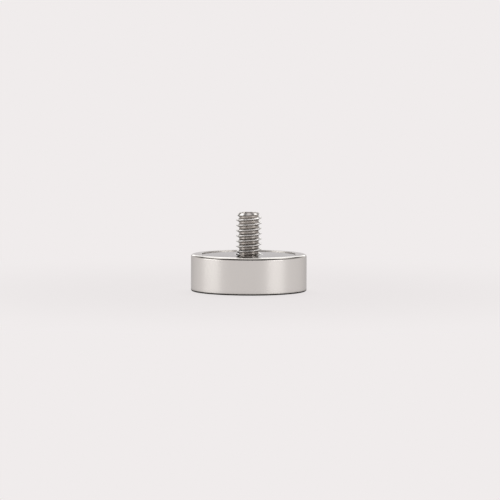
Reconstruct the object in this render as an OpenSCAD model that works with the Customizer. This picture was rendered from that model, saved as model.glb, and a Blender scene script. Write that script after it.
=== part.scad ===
// Fishing magnet: a single-sided pot magnet with a threaded stud on its closed back.
// Z = 0 is the plane of the pulling face and the stud points up along +Z.

/* [Pole ring] */
// Outside diameter of the steel pole ring
pot_d = 28; // [26:0.5:34]
// Height of the ring from the pulling face to the rim
pot_h = 9; // [8.5:0.1:12]
// Thickness of the ring's wall beside the magnet
ring_wall = 2.05; // [1.5:0.05:2.5]
// How far the ring's lip reaches inwards over the back plate
lip_reach = 0.6; // [0.4:0.05:1]
// Height of that lip
lip_h = 1.6; // [1.2:0.05:1.9]
// Radius of the rim's outer edge
rim_round = 0.5; // [0.2:0.05:0.9]
// Radius of the outer edge at the pulling face
foot_round = 0.3; // [0.1:0.05:0.6]
// Bevel at the mouth of the ring's bore
mouth_bevel = 0.3; // [0.1:0.05:0.6]

/* [Back plate] */
// Depth of the plate's face below the rim
plate_recess = 0.15; // [0.05:0.05:0.3]
// Thickness of the plate's flange, which hooks under the lip
flange_t = 1.9; // [1.5:0.1:2.2]
// Clearance between the flange and the ring's bore
flange_fit = 0.03; // [0.01:0.01:0.1]
// Width of the seam between the plate and the lip
seam_w = 0.12; // [0.08:0.01:0.2]
// Bevel on both edges of the seam
seam_bevel = 0.1; // [0.05:0.01:0.15]
// Depth of the sealant below the plate's face
sealant_recess = 0.35; // [0.2:0.05:0.6]
// Thickness of the plate over the seal ring
skin_t = 0.7; // [0.5:0.05:1]
// Clearance around the stud where it leaves the plate
exit_gap = 0.22; // [0.15:0.01:0.4]
// Bevel at the edge of that hole
exit_bevel = 0.12; // [0.05:0.01:0.2]

/* [Magnet] */
// Width of the resin between the magnet and the ring
resin_gap = 1.25; // [0.6:0.05:2]
// Bore of the ring magnet
magnet_bore_d = 12; // [11.4:0.1:13.5]
// Bevel on the magnet's edges
magnet_bevel = 0.3; // [0.1:0.05:0.4]
// Depth of the magnet's face below the pole ring's
face_recess = 0.2; // [0.1:0.05:0.4]
// Thickness of the adhesive between the magnet and the back plate
bond_t = 0.1; // [0.05:0.01:0.2]
// Depth of the hollow in the resin's face
meniscus = 0.15; // [0.05:0.05:0.3]

/* [Stud] */
// Diameter over the thread's crests
thread_d = 6.2; // [5.8:0.05:6.4]
// Pitch of the thread
pitch = 1.27; // [1:0.01:1.4]
// Whole length of the stud
stud_l = 15.875; // [15:0.125:16.5]
// Length of the stud that stands out of the back plate
stud_out = 10.15; // [9.5:0.05:11]
// Height of the chamfer at both ends of the stud
stud_chamfer = 0.8; // [0.5:0.05:1]
// Width of the hexagon socket across its flats
socket_af = 3.175; // [2.5:0.025:3.3]
// Depth of the socket
socket_depth = 3; // [2:0.1:4]
// Diameter of the cup in the stud's inner end
cup_d = 3; // [2:0.1:3.4]
// Depth of the cup
cup_depth = 0.6; // [0.3:0.05:1]

/* [Bush and seal] */
// Diameter of the bush's barrel
barrel_d = 9.5; // [9:0.1:9.8]
// Thickness of the bush's flange
bush_flange_t = 1.1; // [0.8:0.05:1.4]
// Clearance between the bush's flange and the magnet's bore
bush_gap = 0.4; // [0.2:0.05:0.5]
// Thickness of the closed end of the bush
bush_floor = 0.5; // [0.4:0.05:0.8]
// Gap between the stud and the closed end
point_gap = 0.1; // [0.05:0.05:0.3]
// Clearance between the stud's root and the hole that is drilled before tapping
drill_gap = 0.23; // [0.15:0.01:0.3]
// Clearance between the two threads, measured across the axis
thread_gap = 0.08; // [0.06:0.01:0.12]
// Chamfer at the mouth of the tapped hole
tap_chamfer = 0.4; // [0.2:0.05:0.6]
// Thickness of the seal ring under the plate's skin
seal_t = 0.75; // [0.5:0.05:1]
// Clearance above and below the seal ring
seal_float = 0.05; // [0.03:0.01:0.1]
// Clearance between the seal ring and the stud
seal_fit = 0.06; // [0.04:0.01:0.1]
// Clearance between the seal ring and its pocket
pocket_gap = 0.1; // [0.05:0.01:0.2]

/* [Face plug] */
// Thickness of the resin between the plug and the bush
resin_floor = 0.15; // [0.1:0.05:0.4]
// Bevel on the plug's face
plug_bevel = 0.2; // [0.1:0.05:0.4]
// Diameter of the dimple in the plug's face
dimple_d = 2.4; // [1.5:0.1:4]
// Depth of the dimple
dimple_depth = 0.2; // [0.1:0.05:0.4]

/* [Hidden] */
$fn = 96;
// A cut runs this far past the face that it opens
past = 1;
// Steps in one turn of a thread
thread_steps = 30;
// How far the thread's V form runs past the blank that trims it
form_over = 0.1;

// Radii of the pot, from the outside in
pot_r = pot_d / 2;
bore_r = pot_r - ring_wall;
lip_r = bore_r - lip_reach;
boss_r = lip_r - seam_w;
magnet_r = bore_r - resin_gap;
magnet_bore_r = magnet_bore_d / 2;
bush_flange_r = magnet_bore_r - bush_gap;
barrel_r = barrel_d / 2;

// Heights of the pot, from the rim down
plate_top = pot_h - plate_recess;
lip_low = pot_h - lip_h;
plate_low = lip_low - flange_t;
magnet_top = plate_low - bond_t;
skin_low = plate_top - skin_t;
bush_top = skin_low - seal_t - 2 * seal_float;
bush_flange_low = plate_low - bush_flange_t;
stud_top = plate_top + stud_out;
stud_low = stud_top - stud_l;
tap_low = stud_low - point_gap;
bush_low = tap_low - bush_floor;
plug_top = bush_low - resin_floor;

// Thread form: 60 degree flanks, with a flat of an eighth of the pitch on the crest
thread_r = thread_d / 2;
thread_depth = 0.6134 * pitch;
root_r = thread_r - thread_depth;
crest_flat = pitch / 8;
flank_run = tan(30);
drill_r = root_r + drill_gap;
exit_r = thread_r + exit_gap;
// Slope of the cone that a drill leaves at the bottom of its hole
drill_slope = tan(31);

// A rectangle between two radii and two heights, to be revolved
module band(r_in, r_out, low, high) {
    translate([r_in, low]) square([r_out - r_in, high - low]);
}

// What a rounded corner leaves of a square, with the corner at the origin and its body towards -X, -Y
module corner_waste(radius) {
    difference() {
        translate([-radius, -radius]) square(radius + past);
        translate([-radius, -radius]) circle(radius);
    }
}

// A bevel's waste, with the corner at the origin and its body towards -X, -Y
module bevel_waste(size) {
    polygon([[-size, 0], [0, -size], [past, -size], [past, past], [-size, past]]);
}

// A solid rod with a right-hand thread. Its ridges are centred on whole pitches where they cross
// the +X axis, so every rod made here is in step with the others. "grow" moves the whole form out.
module thread_rod(low, high, grow = 0) {
    foot = root_r + grow;
    tip = thread_r + form_over + grow;
    half_tip = crest_flat / 2 - form_over * flank_run;
    half_foot = half_tip + (tip - foot) * flank_run;
    form = [[-half_foot, foot], [-half_tip, tip], [half_tip, tip], [half_foot, foot]];
    corners = len(form);
    first = floor(low / pitch) - 1;
    turns = ceil(high / pitch) + 1 - first;
    rows = turns * corners + 1;
    side_points = [for (row = [0:rows - 1]) for (i = [0:thread_steps - 1])
        let (p = form[row % corners],
             angle = 360 * i / thread_steps,
             z = (first + floor(row / corners) + i / thread_steps) * pitch + p[0])
        [p[1] * cos(angle), p[1] * sin(angle), z]];
    low_pole = len(side_points);
    high_pole = low_pole + 1;
    points = concat(side_points, [[0, 0, (first - 1) * pitch], [0, 0, (first + turns + 2) * pitch]]);
    // After a full turn a row goes on as the row one pitch higher
    function at(row, i) = i < thread_steps ? row * thread_steps + i : (row + corners) * thread_steps;
    sides = [for (row = [0:rows - 2]) for (i = [0:thread_steps - 1])
        if (i < thread_steps - 1 || row + corners + 1 < rows)
            each [[at(row, i), at(row + 1, i), at(row + 1, i + 1)],
                  [at(row, i), at(row + 1, i + 1), at(row, i + 1)]]];
    low_rim = concat([for (i = [0:thread_steps - 1]) at(0, i)],
        [for (row = [corners:-1:1]) at(row, 0)]);
    high_rim = concat([for (i = [0:thread_steps - 1]) at(rows - 1, i)],
        [for (row = [rows - 2:-1:rows - 1 - corners]) at(row, thread_steps - 1)]);
    low_cap = [for (k = [0:len(low_rim) - 1])
        [low_pole, low_rim[k], low_rim[(k + 1) % len(low_rim)]]];
    high_cap = [for (k = [0:len(high_rim) - 1])
        [high_pole, high_rim[(k + 1) % len(high_rim)], high_rim[k]]];
    polyhedron(points, concat(sides, low_cap, high_cap), convexity = 10);
}

// Nickel-plated steel ring that carries the flux to the pulling face
module pole_ring() {
    color([0.78, 0.77, 0.75])
    rotate_extrude() difference() {
        band(lip_r, pot_r, 0, pot_h);
        band(lip_r - past, bore_r, -past, lip_low);
        translate([pot_r, pot_h]) corner_waste(rim_round);
        translate([pot_r, 0]) mirror([0, 1]) corner_waste(foot_round);
        translate([bore_r, 0]) rotate(180) bevel_waste(mouth_bevel);
        translate([lip_r, pot_h]) mirror([1, 0]) bevel_waste(seam_bevel);
    }
}

// Steel plate that closes the back, held under the ring's lip by its flange
module back_plate() {
    color([0.76, 0.76, 0.76])
    rotate_extrude() difference() {
        union() {
            band(exit_r, boss_r, plate_low, plate_top);
            band(exit_r, bore_r - flange_fit, plate_low, lip_low);
        }
        band(exit_r - past, barrel_r, plate_low - past, skin_low);
        translate([boss_r, plate_top]) bevel_waste(seam_bevel);
        translate([exit_r, plate_top]) mirror([1, 0]) bevel_waste(exit_bevel);
    }
}

// Blind tapped bush, pressed up into the back plate as far as its flange
module threaded_bush() {
    color([0.72, 0.62, 0.36])
    difference() {
        rotate_extrude() {
            band(0, barrel_r, bush_low, bush_top);
            band(0, bush_flange_r, bush_flange_low, plate_low);
        }
        translate([0, 0, tap_low]) cylinder(h = bush_top - tap_low + past, r = drill_r);
        intersection() {
            thread_rod(tap_low, bush_top, thread_gap);
            translate([0, 0, tap_low]) cylinder(h = bush_top - tap_low + past, r = barrel_r);
        }
        translate([0, 0, bush_top - tap_chamfer])
            cylinder(h = tap_chamfer + past, r1 = thread_r + thread_gap - tap_chamfer,
                r2 = thread_r + thread_gap + past);
    }
}

// Sintered ring magnet, magnetised through its height
module ring_magnet() {
    color([0.70, 0.70, 0.71])
    rotate_extrude() difference() {
        band(magnet_bore_r, magnet_r, face_recess, magnet_top);
        translate([magnet_r, magnet_top]) bevel_waste(magnet_bevel);
        translate([magnet_bore_r, magnet_top]) mirror([1, 0]) bevel_waste(magnet_bevel);
        translate([magnet_r, face_recess]) mirror([0, 1]) bevel_waste(magnet_bevel);
        translate([magnet_bore_r, face_recess]) rotate(180) bevel_waste(magnet_bevel);
    }
}

// Adhesive between the magnet and the back plate
module magnet_bond() {
    color([0.85, 0.80, 0.62])
    rotate_extrude() band(magnet_bore_r, magnet_r, magnet_top, plate_low);
}

// Resin between the magnet and the pole ring, hollow at its face where it shrank
module outer_resin() {
    width = bore_r - magnet_r;
    hollow_r = (width * width / 4 + meniscus * meniscus) / (2 * meniscus);
    color([0.07, 0.07, 0.08])
    rotate_extrude() difference() {
        band(magnet_r, bore_r, face_recess, plate_low);
        translate([magnet_r + width / 2, face_recess + meniscus - hollow_r]) circle(hollow_r);
    }
}

// Resin that fills the magnet's bore around the bush
module inner_resin() {
    color([0.07, 0.07, 0.08])
    rotate_extrude() difference() {
        band(0, magnet_bore_r, plug_top, plate_low);
        band(-past, barrel_r, bush_low, plate_low + past);
        band(-past, bush_flange_r, bush_flange_low, plate_low + past);
    }
}

// Moulded plug that closes the magnet's bore at the pulling face
module face_plug() {
    color([0.12, 0.12, 0.12])
    difference() {
        rotate_extrude() difference() {
            band(0, magnet_bore_r, face_recess, plug_top);
            translate([magnet_bore_r, face_recess]) mirror([0, 1]) bevel_waste(plug_bevel);
        }
        translate([0, 0, face_recess - past]) cylinder(h = past + dimple_depth, d = dimple_d);
    }
}

// Sealant at the bottom of the seam around the back plate
module seam_sealant() {
    color([0.10, 0.10, 0.10])
    rotate_extrude() band(boss_r, lip_r, lip_low, plate_top - sealant_recess);
}

// Seal ring that is trapped under the plate's skin and grips the stud
module stud_seal() {
    low = bush_top + seal_float;
    color([0.15, 0.15, 0.15])
    rotate_extrude() band(thread_r + seal_fit, barrel_r - pocket_gap, low, low + seal_t);
}

// Set screw with a hexagon socket at its free end and a cup at the other
module threaded_stud() {
    socket_r = socket_af / 2 / cos(30);
    point_h = socket_af / 2 * drill_slope;
    color([0.66, 0.65, 0.63])
    difference() {
        intersection() {
            thread_rod(stud_low, stud_top);
            rotate_extrude() polygon([[0, stud_low], [thread_r - stud_chamfer, stud_low],
                [thread_r, stud_low + stud_chamfer], [thread_r, stud_top - stud_chamfer],
                [thread_r - stud_chamfer, stud_top], [0, stud_top]]);
        }
        translate([0, 0, stud_top - socket_depth]) {
            cylinder(h = socket_depth + past, r = socket_r, $fn = 6);
            translate([0, 0, -point_h]) cylinder(h = point_h, r1 = 0, r2 = socket_af / 2);
        }
        translate([0, 0, stud_low - past])
            cylinder(h = past + cup_depth, r1 = cup_d / 2 * (1 + past / cup_depth), r2 = 0);
    }
}

pole_ring();
back_plate();
threaded_bush();
ring_magnet();
magnet_bond();
outer_resin();
inner_resin();
face_plug();
seam_sealant();
stud_seal();
threaded_stud();
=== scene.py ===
import math

import bpy
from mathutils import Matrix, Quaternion, Vector


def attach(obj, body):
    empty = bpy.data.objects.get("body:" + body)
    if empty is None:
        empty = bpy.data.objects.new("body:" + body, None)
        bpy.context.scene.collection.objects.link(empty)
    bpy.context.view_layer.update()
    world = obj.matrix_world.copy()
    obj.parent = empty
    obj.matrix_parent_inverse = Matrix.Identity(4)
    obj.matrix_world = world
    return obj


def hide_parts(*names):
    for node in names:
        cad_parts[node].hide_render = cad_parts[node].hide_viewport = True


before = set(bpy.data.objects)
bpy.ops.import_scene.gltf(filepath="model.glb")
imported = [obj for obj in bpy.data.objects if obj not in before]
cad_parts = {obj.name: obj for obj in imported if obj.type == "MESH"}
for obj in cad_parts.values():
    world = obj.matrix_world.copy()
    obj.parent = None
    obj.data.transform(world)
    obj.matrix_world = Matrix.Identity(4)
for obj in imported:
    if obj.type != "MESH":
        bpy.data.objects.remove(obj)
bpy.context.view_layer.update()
print("frame loaded with", len(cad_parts), "nodes")

mm = 0.001


# An sRGB hex colour as the linear value that a shader takes
def linearColour(hexCode):
    parts = [int(hexCode[i:i + 2], 16) / 255 for i in (1, 3, 5)]
    return [p / 12.92 if p <= 0.04045 else ((p + 0.055) / 1.055) ** 2.4 for p in parts] + [1.0]


# Adds one node. An input takes a number, a colour as hex text, or another node's output to link
def addNode(tree, kind, inputs=None, **settings):
    node = tree.nodes.new(kind)
    for name, value in settings.items():
        setattr(node, name, value)
    for key, value in (inputs or {}).items():
        if isinstance(value, bpy.types.NodeSocket):
            tree.links.new(value, node.inputs[key])
        else:
            node.inputs[key].default_value = linearColour(value) if isinstance(value, str) else value
    return node


# A material with its shader set and its Object coordinates in millimetres ready
def startMaterial(name, hexCode, metallic, roughness, **sockets):
    material = bpy.data.materials.new(name)
    material.use_nodes = True
    tree = material.node_tree
    shader = tree.nodes["Principled BSDF"]
    shader.inputs["Base Color"].default_value = linearColour(hexCode)
    shader.inputs["Metallic"].default_value = metallic
    shader.inputs["Roughness"].default_value = roughness
    for key, value in sockets.items():
        shader.inputs[key.replace("_", " ")].default_value = value
    place = addNode(tree, "ShaderNodeTexCoord").outputs["Object"]
    inMm = addNode(tree, "ShaderNodeVectorMath", {0: place, "Scale": 1 / mm}, operation="SCALE").outputs[0]
    return material, tree, inMm


# Links what was made to the shader's sockets and hands the material over
def endMaterial(material, **sockets):
    tree = material.node_tree
    for key, value in sockets.items():
        tree.links.new(value, tree.nodes["Principled BSDF"].inputs[key.replace("_", " ")])
    return material


# Distance from the stud's axis and height, both in millimetres, and a vector made of the two
def aroundAxis(tree, inMm):
    parts = addNode(tree, "ShaderNodeSeparateXYZ", {0: inMm}).outputs
    flat = addNode(tree, "ShaderNodeCombineXYZ", {"X": parts["X"], "Y": parts["Y"]}).outputs[0]
    radius = addNode(tree, "ShaderNodeVectorMath", {0: flat}, operation="LENGTH").outputs["Value"]
    rings = addNode(tree, "ShaderNodeCombineXYZ", {"X": radius, "Z": parts["Z"]}).outputs[0]
    return radius, parts["Z"], rings


# Bright nickel over turned and tumbled steel: a warm, slightly soft mirror with faint turning lines
def nickelOnTurnedSteel():
    look = {"tint": "#D6D3CF", "dull": "#B9B4AC", "wallLow": 0.28, "wallHigh": 0.3, "topRough": 0.06,
            "seamRough": 0.32, "seamOut": 11.4, "patchScale": 0.22, "lappedFrom": 8.38, "lappedTo": 8.55,
            "paintedTopShade": 0.45, "scuffLow": 0.05, "scuffHigh": 0.7, "scuffRough": 0.28, "lineMm": 0.22,
            "lineDeep": 0.00006, "waveMm": 5.0, "waveDeep": 0.0001}
    material, tree, inMm = startMaterial("nickelOnTurnedSteel", look["tint"], 1.0, look["wallLow"],
        Specular_Tint=linearColour("#D6D6D6"))
    radius, height, rings = aroundAxis(tree, inMm)
    # Handling dulls the plating in broad soft patches
    patches = addNode(tree, "ShaderNodeTexNoise", {"Vector": inMm, "Scale": look["patchScale"],
        "Detail": 3.0}).outputs["Fac"]
    wall = addNode(tree, "ShaderNodeMapRange", {"Value": patches, "From Min": 0.35, "From Max": 0.65,
        "To Min": look["wallLow"], "To Max": look["wallHigh"]}).outputs[0]
    # The rim was lapped after turning and is as bright as the plate
    lapped = addNode(tree, "ShaderNodeMapRange", {"Value": height, "From Min": look["lappedFrom"],
        "From Max": look["lappedTo"]}).outputs[0]
    outer = addNode(tree, "ShaderNodeMix", {0: lapped, 2: wall, 3: look["topRough"]}).outputs[0]
    # Inside the seam the ring is as the tool left it, and the plating is thin and dull
    inSeam = addNode(tree, "ShaderNodeMath", {0: radius, 1: look["seamOut"]}, operation="LESS_THAN").outputs[0]
    rough = addNode(tree, "ShaderNodeMix", {0: inSeam, 2: outer, 3: look["seamRough"]}).outputs[0]
    # The lowest part rubs on whatever the magnet stands on
    scuff = addNode(tree, "ShaderNodeMapRange", {"Value": height, "From Min": look["scuffLow"],
        "From Max": look["scuffHigh"], "To Min": 1.0, "To Max": 0.0}).outputs[0]
    grain = addNode(tree, "ShaderNodeTexNoise", {"Vector": inMm, "Scale": 2.4, "Detail": 5.0}).outputs["Fac"]
    worn = addNode(tree, "ShaderNodeMath", {0: scuff, 1: grain}, operation="MULTIPLY").outputs[0]
    roughWorn = addNode(tree, "ShaderNodeMath", {0: worn, 1: look["scuffRough"], 2: rough},
        operation="MULTIPLY_ADD").outputs[0]
    # A Mix node's colour sockets come after its number and vector ones, so they are taken by place
    # Painted shade: the lapped top takes a share of the dull colour, so the rim is darker; near the foot the same
    # dull colour is wear
    topShadeMask = addNode(tree, "ShaderNodeMath", {0: lapped, 1: look["paintedTopShade"]}, operation="MULTIPLY").outputs[0]
    wearAndTopShade = addNode(tree, "ShaderNodeMath", {0: worn, 1: topShadeMask}, operation="MAXIMUM").outputs[0]
    tint = addNode(tree, "ShaderNodeMix", {0: wearAndTopShade, 6: look["tint"], 7: look["dull"]}, data_type="RGBA").outputs[2]
    # Turning lines run round the ring; real ones are 0.05 mm apart and would not show
    lines = addNode(tree, "ShaderNodeTexNoise", {"Vector": rings, "Scale": 1 / look["lineMm"], "Detail": 2.0})
    waves = addNode(tree, "ShaderNodeTexNoise", {"Vector": inMm, "Scale": 1 / look["waveMm"], "Detail": 1.0})
    waveBump = addNode(tree, "ShaderNodeBump", {"Height": waves.outputs["Fac"],
        "Distance": look["waveDeep"] * mm}).outputs[0]
    lineBump = addNode(tree, "ShaderNodeBump", {"Height": lines.outputs["Fac"],
        "Distance": look["lineDeep"] * mm, "Normal": waveBump}).outputs[0]
    return endMaterial(material, Base_Color=tint, Roughness=roughWorn, Normal=lineBump)


# Bright nickel over a lapped plate: nearly a mirror, neutral, with hairline scratches
def nickelOnLappedPlate():
    look = {"tint": "#D8D8D7", "rough": 0.05, "scratchRough": 0.09, "scratchWide": 0.035, "ringMm": 0.3,
            "ringDeep": 0.00004}
    material, tree, inMm = startMaterial("nickelOnLappedPlate", look["tint"], 1.0, look["rough"],
        Specular_Tint=linearColour("#CACACA"))
    rings = aroundAxis(tree, inMm)[2]
    scratches = None
    # Two sets of hairlines, each turned another way and drawn 0.05 mm wide so that they show
    for angle, seed in ((0.5, 3.0), (2.1, 11.0)):
        turned = addNode(tree, "ShaderNodeMapping", {"Vector": inMm, "Location": (seed, seed, 0),
            "Rotation": (0, 0, angle), "Scale": (0.12, 1.6, 1.0)}).outputs[0]
        cells = addNode(tree, "ShaderNodeTexVoronoi", {"Vector": turned, "Scale": 1.0},
            feature="DISTANCE_TO_EDGE").outputs["Distance"]
        line = addNode(tree, "ShaderNodeMapRange", {"Value": cells, "From Max": look["scratchWide"],
            "To Min": 1.0, "To Max": 0.0}).outputs[0]
        scratches = line if scratches is None else addNode(tree, "ShaderNodeMath",
            {0: scratches, 1: line}, operation="MAXIMUM").outputs[0]
    where = addNode(tree, "ShaderNodeTexNoise", {"Vector": inMm, "Scale": 0.35, "Detail": 2.0}).outputs["Fac"]
    shown = addNode(tree, "ShaderNodeMapRange", {"Value": where, "From Min": 0.5, "From Max": 0.62}).outputs[0]
    faint = addNode(tree, "ShaderNodeMath", {0: scratches, 1: shown}, operation="MULTIPLY").outputs[0]
    rough = addNode(tree, "ShaderNodeMapRange", {"Value": faint, "To Min": look["rough"],
        "To Max": look["scratchRough"]}).outputs[0]
    lapping = addNode(tree, "ShaderNodeTexNoise", {"Vector": rings, "Scale": 1 / look["ringMm"], "Detail": 1.0})
    bump = addNode(tree, "ShaderNodeBump", {"Height": lapping.outputs["Fac"],
        "Distance": look["ringDeep"] * mm}).outputs[0]
    return endMaterial(material, Roughness=rough, Normal=bump)


# Stainless bar with a rolled thread: a neutral satin, with painted shade that darkens and browns the thread roots
def rolledStainless():
    look = {"tint": "#E1DFDC", "root": "#A0958B", "rough": 0.16, "rootRough": 0.32, "rootShadeIn": 2.34,
            "rootShadeOut": 2.75, "drawnDeep": 0.0006}
    material, tree, inMm = startMaterial("rolledStainless", look["tint"], 1.0, look["rough"],
        Specular_Tint=linearColour("#BDBDBD"))
    radius = aroundAxis(tree, inMm)[0]
    mottle = addNode(tree, "ShaderNodeTexNoise", {"Vector": inMm, "Scale": 1.3, "Detail": 4.0}).outputs["Fac"]
    deep = addNode(tree, "ShaderNodeMapRange", {"Value": radius, "From Min": look["rootShadeIn"],
        "From Max": look["rootShadeOut"], "To Min": 1.0, "To Max": 0.0}).outputs[0]
    # Painted shade: towards the root radius the colour goes darker and browner, broken up by noise, and the surface
    # gets rougher
    paintedRootShade = addNode(tree, "ShaderNodeMath", {0: deep, 1: mottle}, operation="MULTIPLY").outputs[0]
    rough = addNode(tree, "ShaderNodeMapRange", {"Value": paintedRootShade, "To Min": look["rough"],
        "To Max": look["rootRough"]}).outputs[0]
    tint = addNode(tree, "ShaderNodeMix", {0: paintedRootShade, 6: look["tint"], 7: look["root"]}, data_type="RGBA").outputs[2]
    drawn = addNode(tree, "ShaderNodeMapping", {"Vector": inMm, "Scale": (3.0, 3.0, 0.6)}).outputs[0]
    lines = addNode(tree, "ShaderNodeTexNoise", {"Vector": drawn, "Scale": 2.0, "Detail": 3.0}).outputs["Fac"]
    bump = addNode(tree, "ShaderNodeBump", {"Height": lines, "Distance": look["drawnDeep"] * mm}).outputs[0]
    return endMaterial(material, Base_Color=tint, Roughness=rough, Normal=bump)


# Bright nickel on a sintered magnet block: a mirror with the fine orange peel of barrel plating
def nickelOnSinteredBlock():
    look = {"tint": "#C6C7C9", "dull": "#A9A9A6", "rough": 0.12, "rubbedRough": 0.34, "peelMm": 0.5,
            "peelDeep": 0.0011, "rubMm": 3.2}
    material, tree, inMm = startMaterial("nickelOnSinteredBlock", look["tint"], 1.0, look["rough"])
    peel = addNode(tree, "ShaderNodeTexNoise", {"Vector": inMm, "Scale": 1 / look["peelMm"], "Detail": 2.0})
    # Broad dull rubs where iron has slid over the face
    slid = addNode(tree, "ShaderNodeMapping", {"Vector": inMm, "Rotation": (0, 0, 0.6),
        "Scale": (1.0, 0.22, 1.0)}).outputs[0]
    rubs = addNode(tree, "ShaderNodeTexNoise", {"Vector": slid, "Scale": 3 / look["rubMm"], "Detail": 6.0,
        "Roughness": 0.62}).outputs["Fac"]
    rubbed = addNode(tree, "ShaderNodeMapRange", {"Value": rubs, "From Min": 0.5, "From Max": 0.72}).outputs[0]
    rough = addNode(tree, "ShaderNodeMapRange", {"Value": rubbed, "To Min": look["rough"],
        "To Max": look["rubbedRough"]}).outputs[0]
    tint = addNode(tree, "ShaderNodeMix", {0: rubbed, 6: look["tint"], 7: look["dull"]}, data_type="RGBA").outputs[2]
    bump = addNode(tree, "ShaderNodeBump", {"Height": peel.outputs["Fac"],
        "Distance": look["peelDeep"] * mm}).outputs[0]
    return endMaterial(material, Base_Color=tint, Roughness=rough, Normal=bump)


# Black potting epoxy, poured and cured: glossy, with slow waves, pinholes and a little dust
def pouredEpoxy():
    look = {"tint": "#17181B", "dust": "#4A4844", "rough": 0.16, "dustRough": 0.55, "waveMm": 2.2,
            "waveDeep": 0.012, "holeMm": 1.1, "holeDeep": 0.03}
    material, tree, inMm = startMaterial("pouredEpoxy", look["tint"], 0.0, look["rough"], IOR=1.55)
    waves = addNode(tree, "ShaderNodeTexNoise", {"Vector": inMm, "Scale": 1 / look["waveMm"],
        "Detail": 1.0}).outputs["Fac"]
    cells = addNode(tree, "ShaderNodeTexVoronoi", {"Vector": inMm, "Scale": 1 / look["holeMm"]}).outputs
    # Only a few cells hold a pinhole, 0.1 to 0.2 mm across
    chosen = addNode(tree, "ShaderNodeSeparateColor", {0: cells["Color"]}).outputs[0]
    size = addNode(tree, "ShaderNodeMapRange", {"Value": chosen, "From Min": 0.72, "To Max": 0.11}).outputs[0]
    hole = addNode(tree, "ShaderNodeMath", {0: cells["Distance"], 1: size}, operation="LESS_THAN").outputs[0]
    specks = addNode(tree, "ShaderNodeTexNoise", {"Vector": inMm, "Scale": 5.0, "Detail": 4.0,
        "Roughness": 0.7}).outputs["Fac"]
    dust = addNode(tree, "ShaderNodeMapRange", {"Value": specks, "From Min": 0.55, "From Max": 0.75}).outputs[0]
    rough = addNode(tree, "ShaderNodeMapRange", {"Value": dust, "To Min": look["rough"],
        "To Max": look["dustRough"]}).outputs[0]
    tint = addNode(tree, "ShaderNodeMix", {0: dust, 6: look["tint"], 7: look["dust"]}, data_type="RGBA").outputs[2]
    waveBump = addNode(tree, "ShaderNodeBump", {"Height": waves, "Distance": look["waveDeep"] * mm}).outputs[0]
    holeBump = addNode(tree, "ShaderNodeBump", {"Height": hole, "Distance": look["holeDeep"] * mm,
        "Normal": waveBump}, invert=True).outputs[0]
    return endMaterial(material, Base_Color=tint, Roughness=rough, Normal=holeBump)


# Black nylon moulded in a spark-finished tool: an even fine grain, a soft sheen and some pale scuffs
def mouldedNylon():
    look = {"tint": "#232323", "scuff": "#5C5B58", "rough": 0.42, "scuffRough": 0.6, "grainMm": 0.16,
            "grainDeep": 0.006}
    material, tree, inMm = startMaterial("mouldedNylon", look["tint"], 0.0, look["rough"], IOR=1.53)
    # The tool's real grain is 0.05 mm and is drawn three times as coarse so that it shows
    grain = addNode(tree, "ShaderNodeTexNoise", {"Vector": inMm, "Scale": 1 / look["grainMm"],
        "Detail": 3.0}).outputs["Fac"]
    slid = addNode(tree, "ShaderNodeMapping", {"Vector": inMm, "Rotation": (0, 0, -0.9),
        "Scale": (1.2, 0.16, 1.0)}).outputs[0]
    strokes = addNode(tree, "ShaderNodeTexNoise", {"Vector": slid, "Scale": 2.2, "Detail": 5.0}).outputs["Fac"]
    scuffed = addNode(tree, "ShaderNodeMapRange", {"Value": strokes, "From Min": 0.58, "From Max": 0.74,
        "To Max": 0.7}).outputs[0]
    rough = addNode(tree, "ShaderNodeMapRange", {"Value": scuffed, "To Min": look["rough"],
        "To Max": look["scuffRough"]}).outputs[0]
    tint = addNode(tree, "ShaderNodeMix", {0: scuffed, 6: look["tint"], 7: look["scuff"]},
        data_type="RGBA").outputs[2]
    bump = addNode(tree, "ShaderNodeBump", {"Height": grain, "Distance": look["grainDeep"] * mm}).outputs[0]
    return endMaterial(material, Base_Color=tint, Roughness=rough, Normal=bump)


# Black silicone sealant, run in and wiped: matt, slightly lumpy, with grit caught in it
def wipedSilicone():
    look = {"tint": "#1B1A19", "grit": "#57524B", "rough": 0.5, "lumpMm": 0.5, "lumpDeep": 0.012}
    material, tree, inMm = startMaterial("wipedSilicone", look["tint"], 0.0, look["rough"], IOR=1.43)
    lumps = addNode(tree, "ShaderNodeTexNoise", {"Vector": inMm, "Scale": 1 / look["lumpMm"],
        "Detail": 3.0}).outputs["Fac"]
    specks = addNode(tree, "ShaderNodeTexNoise", {"Vector": inMm, "Scale": 7.0, "Detail": 2.0}).outputs["Fac"]
    caught = addNode(tree, "ShaderNodeMapRange", {"Value": specks, "From Min": 0.6, "From Max": 0.7}).outputs[0]
    tint = addNode(tree, "ShaderNodeMix", {0: caught, 6: look["tint"], 7: look["grit"]}, data_type="RGBA").outputs[2]
    bump = addNode(tree, "ShaderNodeBump", {"Height": lumps, "Distance": look["lumpDeep"] * mm}).outputs[0]
    return endMaterial(material, Base_Color=tint, Normal=bump)


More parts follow.
